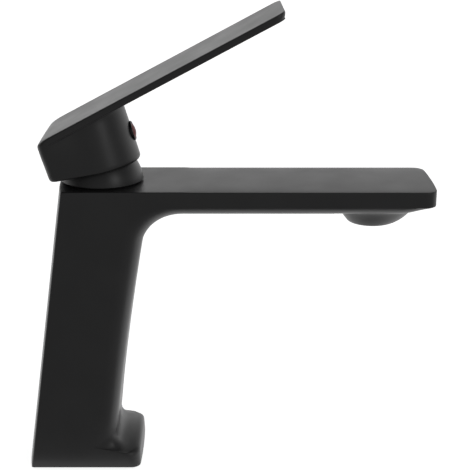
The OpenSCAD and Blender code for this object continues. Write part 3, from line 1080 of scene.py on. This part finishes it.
def build_button_ring():
    """The button's dark ring: a spigot in the hub and a low rounded flange outside it."""
    mesh = bmesh.new()
    spigot = BEZEL_R - 0.25
    profile = [(0, SPIGOT_X), (spigot - SPIGOT_CHAMFER, SPIGOT_X), (spigot, SPIGOT_X + SPIGOT_CHAMFER)]
    profile += [(spigot, INDEX_WALL), (BEZEL_R, INDEX_WALL)]
    profile += arc((BEZEL_R - 0.4, BEZEL_FACE - 0.4), 0.4, 0, 90, 6)
    profile += arc((DOME_R + 0.2, BEZEL_FACE - 0.1), 0.1, 90, 180, 4)
    profile += [(DOME_R + 0.1, POCKET_X), (0, POCKET_X)]
    lathe(mesh, profile, (0, 0, INDEX_Z), axis="X", segments=64)
    return lifted(make_object("button_ring", raked(mesh)))


def build_dome(name, side):
    """One half of the button's domed centre; side is -1 for hot and 1 for cold."""
    mesh = bmesh.new()
    edge_r = DOME_R - 0.08
    bulb = (edge_r ** 2 + DOME_RISE ** 2) / (2 * DOME_RISE)
    middle = BEZEL_FACE - 0.15 + DOME_RISE - bulb
    brink = math.degrees(math.asin(edge_r / bulb))
    profile = [(0, POCKET_X + 0.1), (DOME_R, POCKET_X + 0.1), (DOME_R, BEZEL_FACE - 0.25)]
    profile += arc((0, middle), bulb, 90 - brink, 90, 10)[:-1] + [(0, middle + bulb)]
    lathe(mesh, profile, (0, 0, INDEX_Z), axis="X", segments=64)
    everything = list(mesh.verts) + list(mesh.edges) + list(mesh.faces)
    seam = (0, side * DOME_SEAM, 0)
    normal = (0, -side, 0)
    cut = bmesh.ops.bisect_plane(mesh, geom=everything, plane_co=seam, plane_no=normal, clear_outer=True)
    edges = [part for part in cut["geom_cut"] if isinstance(part, bmesh.types.BMEdge)]
    bmesh.ops.edgenet_fill(mesh, edges=edges)
    return lifted(make_object(name, raked(mesh)))


BUTTON_PIECES = (
    (build_button_ring(), "index_bezel", "bezel_plastic"),
    (build_dome("hot_dome", -1), "hot_insert", "red_plastic"),
    (build_dome("cold_dome", 1), "cold_insert", "cold_plastic"),
)


# ---------------- outlet screens

def woven_wire(mesh, start, along, z, first):
    """A wire that passes over and under its neighbours; along is its direction and length."""
    waves = along.length / SCREEN_PITCH
    across = Vector((-along.y, along.x)).normalized()
    count = max(8, int(waves * 4))
    ring = None
    for t in steps(count):
        spot = start + along * t
        high = z + WIRE_R * math.sin(math.pi * (waves * t - waves / 2 + first + 0.5))
        loop = add_loop(mesh, [
            (spot.x + across.x * WIRE_R * math.cos(a), spot.y + across.y * WIRE_R * math.cos(a),
             high + WIRE_R * math.sin(a))
            for a in steps(6, 0, 2 * math.pi)[:-1]
        ])
        if ring:
            bridge(mesh, ring, loop)
        else:
            mesh.faces.new(loop)
        ring = loop
    mesh.faces.new(ring)


SCREEN_RIM = [(0.7, -0.2), (0.1, -0.24), (0, -0.15), (0, 0.15), (0.1, 0.24), (0.7, 0.2), (0.7, -0.2)]


def build_screens():
    """Two discs of woven wire, each held in a pressed rim."""
    mesh = bmesh.new()
    low, high = (corner.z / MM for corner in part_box("aerator_screens"))
    for z in (low + 0.25, high - 0.25):
        rim = [(SCREEN_R - inset, z + high) for inset, high in SCREEN_RIM]
        lathe(mesh, rim, (OUTLET_X, 0, 0), segments=72)
        reach = SCREEN_R - 0.4
        count = int(reach / SCREEN_PITCH)
        for k in range(-count, count + 1):
            off = k * SCREEN_PITCH
            half = math.sqrt(reach ** 2 - off ** 2)
            woven_wire(mesh, Vector((OUTLET_X - half, off)), Vector((2 * half, 0)), z, k % 2)
            woven_wire(mesh, Vector((OUTLET_X + off, -half)), Vector((0, 2 * half)), z, (k + 1) % 2)
    return make_object("outlet_screens", mesh, angle=50)


screens = build_screens()
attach(screens, "fixed_body")
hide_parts("aerator_screens")


# ---------------- finishes of the smaller parts

# The arguments of surface, by slot
FINISH_ROWS = (
    ("gasket_rubber", (0.012, 0.012, 0.012), (0.022, 0.021, 0.02), (0.55, 0.75), 1800, 5e-5, 0.35, 0, 0.35, 60),
    ("seal_rubber", (0.01, 0.01, 0.01), (0.018, 0.018, 0.017), (0.38, 0.6), 1400, 3e-5, 0.25, 0, 0.4, 60),
    ("white_plastic", (0.66, 0.66, 0.63), (0.76, 0.76, 0.74), (0.34, 0.46), 2200, 2e-5, 0.2, 0, 0.5, 90),
    ("grey_plastic", (0.2, 0.205, 0.21), (0.27, 0.275, 0.28), (0.36, 0.5), 2200, 2e-5, 0.25, 0, 0.5, 90),
    ("blue_plastic", (0.02, 0.09, 0.32), (0.03, 0.13, 0.4), (0.32, 0.45), 2200, 2e-5, 0.25, 0, 0.5, 90),
    ("ring_plastic", (0.03, 0.03, 0.032), (0.045, 0.045, 0.047), (0.4, 0.55), 2000, 3e-5, 0.3, 0, 0.5, 60),
    ("disc_ceramic", (0.68, 0.66, 0.61), (0.76, 0.74, 0.7), (0.12, 0.22), 3200, 1e-5, 0.12, 0, 0.5, 140),
    ("pin_steel", (0.46, 0.47, 0.48), (0.6, 0.6, 0.61), (0.2, 0.34), 3000, 1e-5, 0.2, 1, 0.5, 300),
    ("screw_steel", (0.1, 0.1, 0.105), (0.17, 0.17, 0.175), (0.34, 0.5), 2600, 2e-5, 0.3, 1, 0.5, 300),
    ("screen_steel", (0.48, 0.49, 0.5), (0.62, 0.62, 0.62), (0.22, 0.38), 3600, 1e-5, 0.2, 1, 0.5, 420),
    ("stem_zinc", (0.36, 0.37, 0.39), (0.5, 0.51, 0.52), (0.38, 0.55), 1500, 5e-5, 0.35, 1, 0.5, 200),
    ("nut_brass", (0.5, 0.33, 0.12), (0.66, 0.47, 0.2), (0.26, 0.42), 1700, 3e-5, 0.3, 1, 0.5, 150),
    ("bezel_plastic", (0.006, 0.006, 0.006), (0.01, 0.01, 0.01), (0.3, 0.4), 2600, 1e-5, 0.15, 0, 0.35, 60),
    ("red_plastic", (0.13, 0.008, 0.01), (0.2, 0.012, 0.014), (0.3, 0.4), 2600, 1e-5, 0.1, 0, 0.2, 250),
    ("cold_plastic", (0.008, 0.03, 0.2), (0.014, 0.05, 0.28), (0.3, 0.4), 2600, 1e-5, 0.1, 0, 0.2, 250),
    ("shell_plastic", (0.05, 0.05, 0.053), (0.075, 0.075, 0.078), (0.36, 0.5), 2000, 2e-5, 0.3, 0, 0.5, 60),
)

FINISHES = {"black_paint": COAT, "handle_paint": COAT}
for row in FINISH_ROWS:
    FINISHES[row[0]] = surface(*row)

for piece, node_name, slot_name in BUTTON_PIECES:
    piece.data.materials.append(FINISHES[slot_name])
    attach(piece, "lever")
    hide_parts(node_name)
screens.data.materials.append(FINISHES["screen_steel"])

for part in frame["record"]["subparts"]:
    for place in nodes[part["node"]].material_slots:
        place.material = FINISHES[part["material_slot"]]


# ---------------- camera, floor and light

CAMERA_PLACE = (0.0589, -0.48204, 0.26127)
CAMERA_DIP = 18.105  # degrees below level
CAMERA_LENS = 88.09
CAMERA_SHIFT = 20 / 470
CAMERA_CLIP = 20

FLOOR_HALF = 6000
FLOOR_LIGHT = 0.8
# The floor's glow and paint are darker in front of the object, and its glow dims to the right of the picture:
# painted shade that the object's near sides and toe reflect
FLOOR_EDGE = (-0.03, -0.0248)
FLOOR_SLANT = -0.22
FLOOR_RIGHT = (0.28, 0.5)
FLOOR_DIM = 0.2

# World: (height from 0 to 1, brightness), then the dimmer sides (darkest share, from, to)
SKY_BANDS = ((0.0, 1.25), (0.18, 1.2), (0.3, 0.85), (0.42, 0.6), (0.62, 0.75), (1.0, 0.75))
SKY_DIM = 0.3
SKY_NEAR = (-0.1, 0.75)
SKY_LEFT = (-0.9, -0.3)


def build_camera():
    """The viewpoint: in front of the near side, a little above, with a long lens."""
    data = bpy.data.cameras.new("camera")
    data.sensor_width = 36
    data.lens = CAMERA_LENS
    data.shift_x = CAMERA_SHIFT
    data.clip_end = CAMERA_CLIP
    camera = bpy.data.objects.new("camera", data)
    bpy.context.scene.collection.objects.link(camera)
    camera.location = CAMERA_PLACE
    camera.rotation_euler = (math.radians(90 - CAMERA_DIP), 0, 0)
    bpy.context.scene.camera = camera


def build_floor():
    """A white floor that gives light, so that it shows no shadow."""
    mesh = bmesh.new()
    bmesh.ops.create_grid(mesh, x_segments=2, y_segments=2, size=FLOOR_HALF)
    floor = make_object("floor", mesh)
    material, tree, shader = new_material("floor_white")
    shader.inputs["Roughness"].default_value = 0.9
    shader.inputs["Emission Strength"].default_value = FLOOR_LIGHT
    coordinates = tree.nodes.new("ShaderNodeTexCoord")
    split = tree.nodes.new("ShaderNodeSeparateXYZ")
    tree.links.new(coordinates.outputs["Object"], split.inputs["Vector"])
    depth = remap(tree, split.outputs["Y"], 0, 1, *FLOOR_EDGE)
    slant = tree.nodes.new("ShaderNodeMath")
    slant.operation = "MULTIPLY_ADD"
    slant.inputs[1].default_value = FLOOR_SLANT
    tree.links.new(split.outputs["Y"], slant.inputs[0])
    tree.links.new(split.outputs["X"], slant.inputs[2])
    across = remap(tree, slant.outputs["Value"], 1, FLOOR_DIM, *FLOOR_RIGHT)
    # Painted shade in the floor's glow: dimmer in front of the object and to the right, for the object to reflect
    light = ramp(tree, product(tree, depth, across), (0.36, 0.36, 0.36), (1, 1, 1), 0, 1)
    tree.links.new(light.outputs["Color"], shader.inputs["Emission Color"])
    # Painted shade: the floor's colour is dark in front of the object, so that the object's near sides reflect it
    paint = ramp(tree, depth, (0.05, 0.05, 0.05), (0.9, 0.9, 0.9), 0, 1)
    tree.links.new(paint.outputs["Color"], shader.inputs["Base Color"])
    floor.data.materials.append(material)


def area_light(name, place, target, size, power):
    """A rectangular light at a place, turned to a target; metres and watts."""
    data = bpy.data.lights.new(name, "AREA")
    data.shape = "RECTANGLE"
    data.size, data.size_y = size
    data.energy = power
    light = bpy.data.objects.new(name, data)
    light.location = place
    light.rotation_euler = (Vector(target) - Vector(place)).to_track_quat("-Z", "Y").to_euler()
    bpy.context.scene.collection.objects.link(light)


def build_world():
    """Soft studio surroundings, dimmer on the viewer's side and on the left."""
    world = bpy.data.worlds.new("studio")
    world.use_nodes = True
    bpy.context.scene.world = world
    tree = world.node_tree
    background = tree.nodes["Background"]
    coordinates = tree.nodes.new("ShaderNodeTexCoord")
    split = tree.nodes.new("ShaderNodeSeparateXYZ")
    tree.links.new(coordinates.outputs["Generated"], split.inputs["Vector"])
    side = remap(tree, split.outputs["Y"], SKY_DIM, 1, *SKY_NEAR)
    height = tree.nodes.new("ShaderNodeValToRGB")
    tree.links.new(split.outputs["Z"], height.inputs["Fac"])
    while len(height.color_ramp.elements) < len(SKY_BANDS):
        height.color_ramp.elements.new(1)
    for element, (place, level) in zip(height.color_ramp.elements, SKY_BANDS):
        element.position = place
        element.color = (level, level, level, 1)
    shade = tree.nodes.new("ShaderNodeVectorMath")
    shade.operation = "SCALE"
    tree.links.new(height.outputs["Color"], shade.inputs[0])
    left = remap(tree, split.outputs["X"], SKY_DIM, 1, *SKY_LEFT)
    tree.links.new(product(tree, side, left), shade.inputs["Scale"])
    tree.links.new(shade.outputs["Vector"], background.inputs["Color"])
    background.inputs["Strength"].default_value = 1.0


build_camera()
build_floor()
build_world()
area_light("front_box", place=(1.0, -1.05, 0.62), target=(0.02, 0, 0.14), size=(0.35, 0.5), power=2)
bpy.context.scene.view_settings.view_transform = "Standard"
